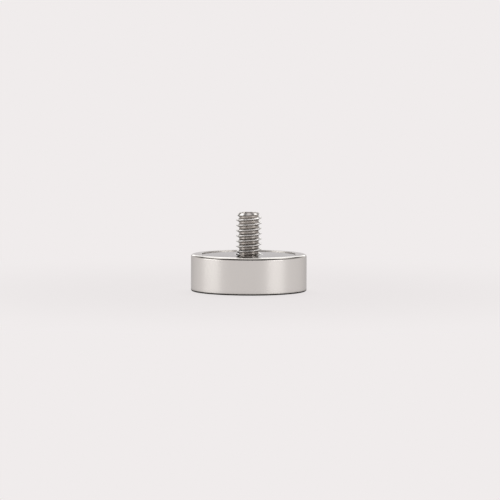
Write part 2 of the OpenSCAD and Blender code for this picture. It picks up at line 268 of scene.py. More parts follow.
# Black nitrile rubber, press moulded: matt, with a greyish bloom in patches
def mouldedNitrile():
    look = {"tint": "#202020", "bloom": "#3C3B3A", "rough": 0.62, "skinMm": 0.2, "skinDeep": 0.004}
    material, tree, inMm = startMaterial("mouldedNitrile", look["tint"], 0.0, look["rough"], IOR=1.52)
    patches = addNode(tree, "ShaderNodeTexNoise", {"Vector": inMm, "Scale": 0.9, "Detail": 4.0}).outputs["Fac"]
    bloom = addNode(tree, "ShaderNodeMapRange", {"Value": patches, "From Min": 0.45, "From Max": 0.65}).outputs[0]
    tint = addNode(tree, "ShaderNodeMix", {0: bloom, 6: look["tint"], 7: look["bloom"]}, data_type="RGBA").outputs[2]
    skin = addNode(tree, "ShaderNodeTexNoise", {"Vector": inMm, "Scale": 1 / look["skinMm"],
        "Detail": 2.0}).outputs["Fac"]
    bump = addNode(tree, "ShaderNodeBump", {"Height": skin, "Distance": look["skinDeep"] * mm}).outputs[0]
    return endMaterial(material, Base_Color=tint, Normal=bump)


# Brass turned on an automatic lathe: warm yellow, ringed by the tool, browner where it has tarnished
def turnedBrass():
    look = {"tint": "#D9B765", "tarnish": "#9A7A3E", "rough": 0.2, "tarnishRough": 0.4, "lineMm": 0.14,
            "lineDeep": 0.0012}
    material, tree, inMm = startMaterial("turnedBrass", look["tint"], 1.0, look["rough"])
    rings = aroundAxis(tree, inMm)[2]
    patches = addNode(tree, "ShaderNodeTexNoise", {"Vector": inMm, "Scale": 0.7, "Detail": 5.0}).outputs["Fac"]
    tarnish = addNode(tree, "ShaderNodeMapRange", {"Value": patches, "From Min": 0.5, "From Max": 0.75}).outputs[0]
    rough = addNode(tree, "ShaderNodeMapRange", {"Value": tarnish, "To Min": look["rough"],
        "To Max": look["tarnishRough"]}).outputs[0]
    tint = addNode(tree, "ShaderNodeMix", {0: tarnish, 6: look["tint"], 7: look["tarnish"]},
        data_type="RGBA").outputs[2]
    lines = addNode(tree, "ShaderNodeTexNoise", {"Vector": rings, "Scale": 1 / look["lineMm"],
        "Detail": 2.0}).outputs["Fac"]
    bump = addNode(tree, "ShaderNodeBump", {"Height": lines, "Distance": look["lineDeep"] * mm}).outputs[0]
    return endMaterial(material, Base_Color=tint, Roughness=rough, Normal=bump)


# Acrylic adhesive pressed to a thin film: amber, glossy, with paler streaks where it was squeezed out
def pressedAcrylic():
    look = {"tint": "#C9B27A", "pale": "#E2D6AE", "rough": 0.28, "streakMm": 1.4, "streakDeep": 0.01}
    material, tree, inMm = startMaterial("pressedAcrylic", look["tint"], 0.0, look["rough"], IOR=1.49)
    streaks = addNode(tree, "ShaderNodeTexNoise", {"Vector": inMm, "Scale": 1 / look["streakMm"], "Detail": 4.0,
        "Distortion": 1.2}).outputs["Fac"]
    tint = addNode(tree, "ShaderNodeMix", {0: streaks, 6: look["tint"], 7: look["pale"]}, data_type="RGBA").outputs[2]
    bump = addNode(tree, "ShaderNodeBump", {"Height": streaks, "Distance": look["streakDeep"] * mm}).outputs[0]
    return endMaterial(material, Base_Color=tint, Normal=bump)


finishes = {"ring": nickelOnTurnedSteel(), "plate": nickelOnLappedPlate(), "stud": rolledStainless(),
            "magnet": nickelOnSinteredBlock(), "resin": pouredEpoxy(), "plug": mouldedNylon(),
            "sealant": wipedSilicone(), "seal": mouldedNitrile(), "bush": turnedBrass(), "bond": pressedAcrylic()}
print("finishes made:", len(finishes))


# Turned and moulded pieces: one tree revolves the profile that each piece carries
def makeLatheTree():
    tree = bpy.data.node_groups.new("turnedProfile", "GeometryNodeTree")
    face = tree.interface
    face.new_socket(name="Profile", in_out="INPUT", socket_type="NodeSocketGeometry")
    for name, kind, value in (("Steps round", "NodeSocketInt", 256), ("Weld distance", "NodeSocketFloat", 5e-7),
                              ("Smooth below", "NodeSocketFloat", math.radians(28))):
        face.new_socket(name=name, in_out="INPUT", socket_type=kind).default_value = value
    face.new_socket(name="Finish", in_out="INPUT", socket_type="NodeSocketMaterial")
    face.new_socket(name="Piece", in_out="OUTPUT", socket_type="NodeSocketGeometry")
    given = addNode(tree, "NodeGroupInput").outputs
    corners = addNode(tree, "GeometryNodeAttributeDomainSize",
        {"Geometry": given["Profile"]}).outputs["Point Count"]
    rowCount = addNode(tree, "ShaderNodeMath", {0: corners, 1: 1.0}, operation="ADD").outputs[0]
    stepCount = addNode(tree, "ShaderNodeMath", {0: given["Steps round"], 1: 1.0}, operation="ADD").outputs[0]
    sheet = addNode(tree, "GeometryNodeMeshGrid", {"Vertices X": rowCount, "Vertices Y": stepCount}).outputs["Mesh"]
    position = addNode(tree, "GeometryNodeInputPosition").outputs[0]
    spot = addNode(tree, "ShaderNodeSeparateXYZ", {0: position}).outputs
    along = addNode(tree, "ShaderNodeMath", {0: spot["X"], 1: 0.5}, operation="ADD").outputs[0]
    rowFloat = addNode(tree, "ShaderNodeMath", {0: along, 1: corners}, operation="MULTIPLY").outputs[0]
    row = addNode(tree, "ShaderNodeMath", {0: rowFloat}, operation="ROUND").outputs[0]
    # The last row is the first corner again, which closes the section
    corner = addNode(tree, "ShaderNodeMath", {0: row, 1: corners}, operation="MODULO").outputs[0]
    point = addNode(tree, "GeometryNodeSampleIndex", {"Geometry": given["Profile"], "Value": position,
        "Index": corner}, data_type="FLOAT_VECTOR", domain="POINT").outputs[0]
    section = addNode(tree, "ShaderNodeSeparateXYZ", {0: point}).outputs
    turn = addNode(tree, "ShaderNodeMath", {0: spot["Y"], 1: 2 * math.pi}, operation="MULTIPLY").outputs[0]
    cosine = addNode(tree, "ShaderNodeMath", {0: turn}, operation="COSINE").outputs[0]
    sine = addNode(tree, "ShaderNodeMath", {0: turn}, operation="SINE").outputs[0]
    sideways = addNode(tree, "ShaderNodeMath", {0: section["X"], 1: cosine}, operation="MULTIPLY").outputs[0]
    inwards = addNode(tree, "ShaderNodeMath", {0: section["X"], 1: sine}, operation="MULTIPLY").outputs[0]
    place = addNode(tree, "ShaderNodeCombineXYZ", {"X": sideways, "Y": inwards, "Z": section["Z"]}).outputs[0]
    bent = addNode(tree, "GeometryNodeSetPosition", {"Geometry": sheet, "Position": place}).outputs[0]
    welded = addNode(tree, "GeometryNodeMergeByDistance", {"Geometry": bent,
        "Distance": given["Weld distance"]}).outputs[0]
    outward = addNode(tree, "GeometryNodeFlipFaces", {"Mesh": welded}).outputs[0]
    finishMesh(tree, outward, given)
    return tree


# The end of both trees: soft shading with hard edges kept, instances made real, finish set
def finishMesh(tree, mesh, given, crisp=None):
    angle = addNode(tree, "GeometryNodeInputMeshEdgeAngle").outputs["Unsigned Angle"]
    hard = addNode(tree, "ShaderNodeMath", {0: angle, 1: given["Smooth below"]},
        operation="GREATER_THAN").outputs[0]
    if crisp is not None:
        hard = addNode(tree, "ShaderNodeMath", {0: hard, 1: crisp}, operation="MAXIMUM").outputs[0]
    soft = addNode(tree, "GeometryNodeSetShadeSmooth", {0: mesh, "Shade Smooth": True}, domain="FACE").outputs[0]
    edged = addNode(tree, "GeometryNodeSetShadeSmooth", {0: soft, "Selection": hard, "Shade Smooth": False},
        domain="EDGE").outputs[0]
    real = addNode(tree, "GeometryNodeRealizeInstances", {"Geometry": edged}).outputs[0]
    dressed = addNode(tree, "GeometryNodeSetMaterial", {"Geometry": real, "Material": given["Finish"]}).outputs[0]
    addNode(tree, "NodeGroupOutput", {"Piece": dressed})


# Runs a tree on an object and leaves a plain mesh behind
def settle(piece, tree, values):
    modifier = piece.modifiers.new("shape", "NODES")
    modifier.node_group = tree
    for item in tree.interface.items_tree:
        if item.in_out == "INPUT" and item.name in values:
            modifier[item.identifier] = values[item.name]
    graph = bpy.context.evaluated_depsgraph_get()
    mesh = bpy.data.meshes.new_from_object(piece.evaluated_get(graph), preserve_all_data_layers=True,
        depsgraph=graph)
    piece.modifiers.remove(modifier)
    mesh.name = piece.name
    piece.data = mesh
    print(piece.name, "has", len(mesh.polygons), "faces")


latheTree = makeLatheTree()


# Points of an arc in a section, in millimetres, from one angle to another in degrees
def arc(middle, radius, start, end, steps):
    return [(middle[0] + radius * math.cos(math.radians(start + (end - start) * i / steps)),
             middle[1] + radius * math.sin(math.radians(start + (end - start) * i / steps)))
            for i in range(steps + 1)]


def turnPiece(name, section, finish, body, node, steps=256):
    clean = [p for i, p in enumerate(section) if math.dist(p, section[i - 1]) > 1e-4]
    area = sum(a[0] * b[1] - b[0] * a[1] for a, b in zip(clean, clean[1:] + clean[:1]))
    if area < 0:
        clean.reverse()
    mesh = bpy.data.meshes.new(name)
    mesh.from_pydata([(r * mm, 0, z * mm) for r, z in clean], [], [])
    piece = bpy.data.objects.new(name, mesh)
    bpy.context.scene.collection.objects.link(piece)
    settle(piece, latheTree, {"Steps round": steps, "Finish": finish})
    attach(piece, body)
    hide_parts(node)


# The pole ring. Its rim was lapped with the plate and then buffed, so its top falls off by a few hundredths

ring = {"outside": 13.995, "bore": 11.95, "lipBore": 11.35, "height": 9.0, "lipLow": 7.4, "footRound": 0.42,
        "rimRound": 0.6, "mouthBevel": 0.3, "seamBevel": 0.04, "startSlope": 0.7, "endSlope": 5.0, "topSteps": 12,
        "hold": 0.04}


def ringSection():
    r = ring
    start = r["lipBore"] + r["seamBevel"]
    end = r["outside"] - r["rimRound"] * (1 - math.sin(math.radians(r["endSlope"])))
    first, last = math.tan(math.radians(r["startSlope"])), math.tan(math.radians(r["endSlope"]))
    top = []
    for i in range(r["topSteps"] + 1):
        q = i / r["topSteps"]
        drop = (end - start) * (first * q + (last - first) * q ** 3 / 3)
        top.append((start + (end - start) * q, r["height"] - drop))
    # The corner's arc takes over at the slope that the top ends with
    middle = (r["outside"] - r["rimRound"], top[-1][1] - r["rimRound"] * math.cos(math.radians(r["endSlope"])))
    points = [(r["bore"], r["mouthBevel"]), (r["bore"] + r["mouthBevel"], 0.0)]
    points += arc((r["outside"] - r["footRound"], r["footRound"]), r["footRound"], -90, 0, 12)
    # Two close rows hold the wall's shading straight between the roundings
    points += [(r["outside"], r["footRound"] + r["hold"]), (r["outside"], middle[1] - r["hold"])]
    points += arc(middle, r["rimRound"], 0, 90 - r["endSlope"], 20)[:-1]
    points += top[::-1]
    points += [(r["lipBore"], r["height"] - r["seamBevel"]), (r["lipBore"], r["lipLow"]), (r["bore"], r["lipLow"])]
    return points


turnPiece("poleRingShell", ringSection(), finishes["ring"], "housing", "pole_ring")


# The back plate, very slightly domed, as lapping leaves it

plate = {"hole": 3.32, "boss": 11.23, "flange": 11.92, "pocket": 4.75, "top": 8.85, "skinLow": 8.15,
         "lipLow": 7.4, "low": 5.5, "seamBevel": 0.03, "holeBevel": 0.12, "domeRadius": 900.0,
         "domeSteps": 14}


def plateSection():
    p = plate
    start, end = p["hole"] + p["holeBevel"], p["boss"] - p["seamBevel"]
    dome = [(r, p["top"] - (r * r - start * start) / (2 * p["domeRadius"]))
            for r in [end + (start - end) * i / p["domeSteps"] for i in range(p["domeSteps"] + 1)]]
    points = [(p["pocket"], p["low"]), (p["flange"], p["low"]), (p["flange"], p["lipLow"]),
              (p["boss"], p["lipLow"]), (p["boss"], dome[0][1] - p["seamBevel"])]
    points += dome
    points += [(p["hole"], p["top"] - p["holeBevel"]), (p["hole"], p["skinLow"]), (p["pocket"], p["skinLow"])]
    return points


turnPiece("backPlateDisc", plateSection(), finishes["plate"], "housing", "back_plate")


# The ring magnet, tumbled before plating, so all its edges are round
magnet = {"outside": 10.7, "bore": 6.0, "face": 0.2, "top": 5.4, "edgeRound": 0.3}


def magnetSection():
    m = magnet
    e = m["edgeRound"]
    points = arc((m["outside"] - e, m["face"] + e), e, -90, 0, 8)
    points += arc((m["outside"] - e, m["top"] - e), e, 0, 90, 8)
    points += arc((m["bore"] + e, m["top"] - e), e, 90, 180, 8)
    points += arc((m["bore"] + e, m["face"] + e), e, 180, 270, 8)
    return points


turnPiece("magnetRing", magnetSection(), finishes["magnet"], "housing", "ring_magnet")


# Resin round the magnet. It shrank as it cured, so its face is a shallow trough that wets both walls
resin = {"inside": 10.7, "outside": 11.95, "face": 0.2, "hollow": 0.15, "top": 5.5}


def resinSection():
    r = resin
    steps = 16
    trough = [(r["inside"] + (r["outside"] - r["inside"]) * i / steps,
               r["face"] + r["hollow"] * math.sin(math.pi * i / steps) ** 0.7) for i in range(steps + 1)]
    return trough + [(r["outside"], r["top"]), (r["inside"], r["top"])]


turnPiece("resinRing", resinSection(), finishes["resin"], "housing", "outer_resin")


# The plug in the magnet's bore, with a dimple in its face and the cut-off gate in the dimple
plug = {"radius": 6.0, "face": 0.2, "top": 2.375, "edgeRound": 0.2, "dimple": 1.2, "dimpleDeep": 0.2,
        "dimpleRound": 0.08, "gate": 0.38, "gateTaper": 0.8, "gateHigh": 0.11, "rimWidth": 0.9,
        "rimDeep": 0.05, "rimStep": 0.15}


def plugSection():
    p = plug
    e, d = p["edgeRound"], p["dimpleRound"]
    floor = p["face"] + p["dimpleDeep"]
    inside = p["radius"] - p["rimWidth"]
    points = [(0.0, floor - p["gateHigh"]), (p["gate"] * p["gateTaper"], floor - p["gateHigh"]), (p["gate"], floor)]
    points += arc((p["dimple"] - d, floor - d), d, 90, 0, 6)
    points += arc((p["dimple"] + d, p["face"] + p["rimDeep"] + d), d, 180, 270, 6)
    # The middle lies a hair below the rim, as moulded faces sink
    points += [(inside - p["rimStep"], p["face"] + p["rimDeep"]), (inside, p["face"])]
    points += arc((p["radius"] - e, p["face"] + e), e, -90, 0, 8)
    return points + [(p["radius"], p["top"]), (0.0, p["top"])]


turnPiece("facePlugDisc", plugSection(), finishes["plug"], "housing", "face_plug", 128)


# Sealant at the bottom of the seam, hollow where it was wiped
sealant = {"inside": 11.23, "outside": 11.35, "low": 7.4, "top": 8.5, "hollow": 0.05}


def sealantSection():
    g = sealant
    steps = 6
    face = [(g["outside"] + (g["inside"] - g["outside"]) * i / steps,
             g["top"] - g["hollow"] * math.sin(math.pi * i / steps)) for i in range(steps + 1)]
    return [(g["inside"], g["low"]), (g["outside"], g["low"])] + face


turnPiece("seamSealantBead", sealantSection(), finishes["sealant"], "housing", "seam_sealant")


# The seal ring, with the rounded edges of a moulding
seal = {"inside": 3.16, "outside": 4.65, "low": 7.35, "high": 8.1, "edgeRound": 0.14}


def sealSection():
    g = seal
    e = g["edgeRound"]
    points = arc((g["outside"] - e, g["low"] + e), e, -90, 0, 6)
    points += arc((g["outside"] - e, g["high"] - e), e, 0, 90, 6)
    points += arc((g["inside"] + e, g["high"] - e), e, 90, 180, 6)
    points += arc((g["inside"] + e, g["low"] + e), e, 180, 270, 6)
    return points


turnPiece("sealRing", sealSection(), finishes["seal"], "seal", "stud_seal", 128)
print("turned and moulded pieces done")


# These keep their own shape and only take a finish
for node, finish in (("threaded_bush", "bush"), ("magnet_bond", "bond"), ("inner_resin", "resin")):
    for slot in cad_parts[node].material_slots:
        slot.material = finishes[finish]


# The stud: a rolled thread on a chamfered blank, with a broached socket

stud = {"pitch": 1.27, "crest": 3.1, "root": 2.321, "low": 3.125, "high": 19.0, "chamfer": 0.8,
        "socketWidth": 3.175, "socketDepth": 3.0, "socketEntry": 0.12, "cupWidth": 3.0, "cupDepth": 0.6,
        "rootBlend": 0.15, "crestBlend": 0.08, "rowsPerTurn": 24, "stepsPerTurn": 72, "smoothBelow": 34.0,
        "spareTurns": 3.0, "overrun": 0.6, "crestShare": 16.0, "drillAngle": 31.0, "entryShare": 0.6,
        "roundSides": 96, "cutPast": 1.0, "weld": 0.002}


def makeThreadTree():
    tree = bpy.data.node_groups.new("rolledThread", "GeometryNodeTree")
    face = tree.interface
    face.new_socket(name="Base", in_out="INPUT", socket_type="NodeSocketGeometry")
    for name, key in (("Pitch", "pitch"), ("Crest radius", "crest"), ("Root radius", "root"), ("Low end", "low"),
                      ("High end", "high"), ("End chamfer", "chamfer"), ("Socket width", "socketWidth"),
                      ("Socket depth", "socketDepth"), ("Socket entry", "socketEntry"), ("Cup width", "cupWidth"),
                      ("Cup depth", "cupDepth"), ("Root blend", "rootBlend"), ("Crest blend", "crestBlend"),
                      ("Weld distance", "weld")):
        face.new_socket(name=name, in_out="INPUT", socket_type="NodeSocketFloat").default_value = stud[key] * mm
    for name, key in (("Rows per turn", "rowsPerTurn"), ("Steps per turn", "stepsPerTurn")):
        face.new_socket(name=name, in_out="INPUT", socket_type="NodeSocketInt").default_value = stud[key]
    limit = face.new_socket(name="Smooth below", in_out="INPUT", socket_type="NodeSocketFloat")
    limit.default_value = math.radians(stud["smoothBelow"])
    face.new_socket(name="Finish", in_out="INPUT", socket_type="NodeSocketMaterial")
    face.new_socket(name="Piece", in_out="OUTPUT", socket_type="NodeSocketGeometry")
    given = addNode(tree, "NodeGroupInput").outputs
    low, high, pitch, crest = given["Low end"], given["High end"], given["Pitch"], given["Crest radius"]

    # A sheet whose rows climb one pitch for each turn; its side edges meet a turn apart
    length = addNode(tree, "ShaderNodeMath", {0: high, 1: low}, operation="SUBTRACT").outputs[0]
    pitches = addNode(tree, "ShaderNodeMath", {0: length, 1: pitch}, operation="DIVIDE").outputs[0]
    whole = addNode(tree, "ShaderNodeMath", {0: pitches}, operation="CEIL").outputs[0]
    turns = addNode(tree, "ShaderNodeMath", {0: whole, 1: 2 * stud["spareTurns"]}, operation="ADD").outputs[0]
    rows = addNode(tree, "ShaderNodeMath", {0: turns, 1: given["Rows per turn"]}, operation="MULTIPLY").outputs[0]
    rowPoints = addNode(tree, "ShaderNodeMath", {0: rows, 1: 1.0}, operation="ADD").outputs[0]
    stepPoints = addNode(tree, "ShaderNodeMath", {0: given["Steps per turn"], 1: 1.0}, operation="ADD").outputs[0]
    sheet = addNode(tree, "GeometryNodeMeshGrid", {"Vertices X": rowPoints,
        "Vertices Y": stepPoints}).outputs["Mesh"]
    position = addNode(tree, "GeometryNodeInputPosition").outputs[0]
    spot = addNode(tree, "ShaderNodeSeparateXYZ", {0: position}).outputs
    along = addNode(tree, "ShaderNodeMath", {0: spot["X"], 1: 0.5}, operation="ADD").outputs[0]
    rowFloat = addNode(tree, "ShaderNodeMath", {0: along, 1: rows}, operation="MULTIPLY").outputs[0]
    row = addNode(tree, "ShaderNodeMath", {0: rowFloat}, operation="ROUND").outputs[0]
    turn = addNode(tree, "ShaderNodeMath", {0: spot["Y"], 1: 0.5}, operation="ADD").outputs[0]
    # The first turn starts well below the bar and the last ends well above it
    lowTurn = addNode(tree, "ShaderNodeMath", {0: low, 1: pitch}, operation="DIVIDE").outputs[0]
    wholeLow = addNode(tree, "ShaderNodeMath", {0: lowTurn}, operation="FLOOR").outputs[0]
    first = addNode(tree, "ShaderNodeMath", {0: wholeLow, 1: stud["spareTurns"]}, operation="SUBTRACT").outputs[0]
    rowTurn = addNode(tree, "ShaderNodeMath", {0: row, 1: given["Rows per turn"]}, operation="DIVIDE").outputs[0]
    fromFirst = addNode(tree, "ShaderNodeMath", {0: rowTurn, 1: turn}, operation="ADD").outputs[0]
    climb = addNode(tree, "ShaderNodeMath", {0: fromFirst, 1: first}, operation="ADD").outputs[0]
    rise = addNode(tree, "ShaderNodeMath", {0: climb, 1: pitch}, operation="MULTIPLY").outputs[0]
    over = addNode(tree, "ShaderNodeMath", {0: pitch, 1: stud["overrun"]}, operation="MULTIPLY").outputs[0]
    bottom = addNode(tree, "ShaderNodeMath", {0: low, 1: over}, operation="SUBTRACT").outputs[0]
    top = addNode(tree, "ShaderNodeMath", {0: high, 1: over}, operation="ADD").outputs[0]
    above = addNode(tree, "ShaderNodeMath", {0: rise, 1: bottom}, operation="MAXIMUM").outputs[0]
    height = addNode(tree, "ShaderNodeMath", {0: above, 1: top}, operation="MINIMUM").outputs[0]
    # Distance from the nearest crest along the axis gives the radius: 60 degree flanks between two flats
    heightTurn = addNode(tree, "ShaderNodeMath", {0: height, 1: pitch}, operation="DIVIDE").outputs[0]
    phase = addNode(tree, "ShaderNodeMath", {0: heightTurn, 1: turn}, operation="SUBTRACT").outputs[0]
    nearest = addNode(tree, "ShaderNodeMath", {0: phase}, operation="ROUND").outputs[0]
    offset = addNode(tree, "ShaderNodeMath", {0: phase, 1: nearest}, operation="SUBTRACT").outputs[0]
    apart = addNode(tree, "ShaderNodeMath", {0: offset}, operation="ABSOLUTE").outputs[0]
    away = addNode(tree, "ShaderNodeMath", {0: apart, 1: pitch}, operation="MULTIPLY").outputs[0]
    halfFlat = addNode(tree, "ShaderNodeMath", {0: pitch, 1: stud["crestShare"]}, operation="DIVIDE").outputs[0]
    down = addNode(tree, "ShaderNodeMath", {0: away, 1: halfFlat}, operation="SUBTRACT").outputs[0]
    drop = addNode(tree, "ShaderNodeMath", {0: down, 1: math.sqrt(3)}, operation="MULTIPLY").outputs[0]
    flank = addNode(tree, "ShaderNodeMath", {0: crest, 1: drop}, operation="SUBTRACT").outputs[0]
    rooted = addNode(tree, "ShaderNodeMath", {0: flank, 1: given["Root radius"], 2: given["Root blend"]},
        operation="SMOOTH_MAX").outputs[0]
    form = addNode(tree, "ShaderNodeMath", {0: rooted, 1: crest, 2: given["Crest blend"]},
        operation="SMOOTH_MIN").outputs[0]
    # The first and last rows close on the axis
    notFirst = addNode(tree, "ShaderNodeMath", {0: row, 1: 0.5}, operation="GREATER_THAN").outputs[0]
    lastRow = addNode(tree, "ShaderNodeMath", {0: rows, 1: 0.5}, operation="SUBTRACT").outputs[0]
    notLast = addNode(tree, "ShaderNodeMath", {0: row, 1: lastRow}, operation="LESS_THAN").outputs[0]
    inside = addNode(tree, "ShaderNodeMath", {0: notFirst, 1: notLast}, operation="MULTIPLY").outputs[0]
    radius = addNode(tree, "ShaderNodeMath", {0: form, 1: inside}, operation="MULTIPLY").outputs[0]
    angle = addNode(tree, "ShaderNodeMath", {0: turn, 1: 2 * math.pi}, operation="MULTIPLY").outputs[0]
    cosine = addNode(tree, "ShaderNodeMath", {0: angle}, operation="COSINE").outputs[0]
    sine = addNode(tree, "ShaderNodeMath", {0: angle}, operation="SINE").outputs[0]
    sideways = addNode(tree, "ShaderNodeMath", {0: radius, 1: cosine}, operation="MULTIPLY").outputs[0]
    inwards = addNode(tree, "ShaderNodeMath", {0: radius, 1: sine}, operation="MULTIPLY").outputs[0]
    place = addNode(tree, "ShaderNodeCombineXYZ", {"X": sideways, "Y": inwards, "Z": height}).outputs[0]
    bent = addNode(tree, "GeometryNodeSetPosition", {"Geometry": sheet, "Position": place}).outputs[0]
    welded = addNode(tree, "GeometryNodeMergeByDistance", {"Geometry": bent,
        "Distance": given["Weld distance"]}).outputs[0]
    thread = addNode(tree, "GeometryNodeFlipFaces", {"Mesh": welded}).outputs[0]

    # A cone that stands on a height, with its two radii
    def cone(foot, tall, lowRadius, highRadius, sides=stud["roundSides"]):
        shape = addNode(tree, "GeometryNodeMeshCone", {"Vertices": sides, "Radius Bottom": lowRadius,
            "Radius Top": highRadius, "Depth": tall}).outputs["Mesh"]
        lift = addNode(tree, "ShaderNodeCombineXYZ", {"Z": foot}).outputs[0]
        return addNode(tree, "GeometryNodeTransform", {"Geometry": shape, "Translation": lift}).outputs[0]

    # Two long cones chamfer the ends
    past = stud["cutPast"] * mm
    tip = addNode(tree, "ShaderNodeMath", {0: crest, 1: given["End chamfer"]}, operation="SUBTRACT").outputs[0]
    depth = addNode(tree, "ShaderNodeMath", {0: length, 1: past}, operation="ADD").outputs[0]
    wide = addNode(tree, "ShaderNodeMath", {0: tip, 1: depth}, operation="ADD").outputs[0]
    under = addNode(tree, "ShaderNodeMath", {0: low, 1: past}, operation="SUBTRACT").outputs[0]
    blank = addNode(tree, "GeometryNodeMeshBoolean", operation="INTERSECT", solver="EXACT")
    for solid in (thread, cone(low, depth, tip, wide), cone(under, depth, wide, tip)):
        tree.links.new(solid, blank.inputs["Mesh 2"])
    # The broached socket with its drilled bottom and entry bevel, and the cup at the other end
    socketDepth, entryDepth, cupDepth = given["Socket depth"], given["Socket entry"], given["Cup depth"]
    halfWidth = addNode(tree, "ShaderNodeMath", {0: given["Socket width"], 1: 2.0}, operation="DIVIDE").outputs[0]
    corner = addNode(tree, "ShaderNodeMath", {0: halfWidth, 1: math.cos(math.radians(30))},
        operation="DIVIDE").outputs[0]
    floor = addNode(tree, "ShaderNodeMath", {0: high, 1: socketDepth}, operation="SUBTRACT").outputs[0]
    drillDepth = addNode(tree, "ShaderNodeMath", {0: halfWidth, 1: math.tan(math.radians(stud["drillAngle"]))},
        operation="MULTIPLY").outputs[0]
    drillLow = addNode(tree, "ShaderNodeMath", {0: floor, 1: drillDepth}, operation="SUBTRACT").outputs[0]
    socketTall = addNode(tree, "ShaderNodeMath", {0: socketDepth, 1: past}, operation="ADD").outputs[0]
    entryLow = addNode(tree, "ShaderNodeMath", {0: high, 1: entryDepth}, operation="SUBTRACT").outputs[0]
    entryIn = addNode(tree, "ShaderNodeMath", {0: entryDepth, 1: stud["entryShare"]},
        operation="MULTIPLY").outputs[0]
    entryFoot = addNode(tree, "ShaderNodeMath", {0: corner, 1: entryIn}, operation="SUBTRACT").outputs[0]
    entryTall = addNode(tree, "ShaderNodeMath", {0: entryDepth, 1: past}, operation="ADD").outputs[0]
    entryWide = addNode(tree, "ShaderNodeMath", {0: entryFoot, 1: entryTall}, operation="ADD").outputs[0]
    cupRadius = addNode(tree, "ShaderNodeMath", {0: given["Cup width"], 1: 2.0}, operation="DIVIDE").outputs[0]
    cupShare = addNode(tree, "ShaderNodeMath", {0: past, 1: cupDepth}, operation="DIVIDE").outputs[0]
    cupGrown = addNode(tree, "ShaderNodeMath", {0: 1.0, 1: cupShare}, operation="ADD").outputs[0]
    cupWide = addNode(tree, "ShaderNodeMath", {0: cupRadius, 1: cupGrown}, operation="MULTIPLY").outputs[0]
    cupTall = addNode(tree, "ShaderNodeMath", {0: cupDepth, 1: past}, operation="ADD").outputs[0]
    cut = addNode(tree, "GeometryNodeMeshBoolean", {"Mesh 1": blank.outputs["Mesh"]}, operation="DIFFERENCE",
        solver="EXACT")
    for solid in (cone(floor, socketTall, corner, corner, 6), cone(drillLow, drillDepth, 0.0, halfWidth),
                  cone(entryLow, entryTall, entryFoot, entryWide), cone(under, cupTall, cupWide, 0.0)):
        tree.links.new(solid, cut.inputs["Mesh 2"])
    # Chamfers lean 45 degrees, and an edge where only one of the two faces does so stays crisp
    normal = addNode(tree, "GeometryNodeInputNormal").outputs[0]
    lean = addNode(tree, "ShaderNodeSeparateXYZ", {0: normal}).outputs["Z"]
    upright = addNode(tree, "ShaderNodeMath", {0: lean}, operation="ABSOLUTE").outputs[0]
    leaning = addNode(tree, "ShaderNodeMath", {0: upright, 1: math.sin(math.radians(45)), 2: 0.001},
        operation="COMPARE").outputs[0]
    share = addNode(tree, "GeometryNodeFieldOnDomain", {"Value": leaning}, domain="FACE",
        data_type="FLOAT").outputs[0]
    crisp = addNode(tree, "ShaderNodeMath", {0: share, 1: 0.5, 2: 0.2}, operation="COMPARE").outputs[0]
    finishMesh(tree, cut.outputs["Mesh"], given, crisp)
    return tree


studScrew = bpy.data.objects.new("studScrew", bpy.data.meshes.new("studScrew"))
bpy.context.scene.collection.objects.link(studScrew)
settle(studScrew, makeThreadTree(), {"Finish": finishes["stud"]})
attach(studScrew, "stud")
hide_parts("threaded_stud")
print("stud done")


# The studio: pale floor, soft boxes and the camera

studio = {"backdrop": "#F0ECEC", "floorReach": 8.0, "floorHeight": -0.00003, "shadowShare": 0.15,
          "shadeIn": 0.02, "shadeOut": 0.11, "stripIn": 0.0144, "stripOut": 0.0168, "clearWithin": 0.0135}


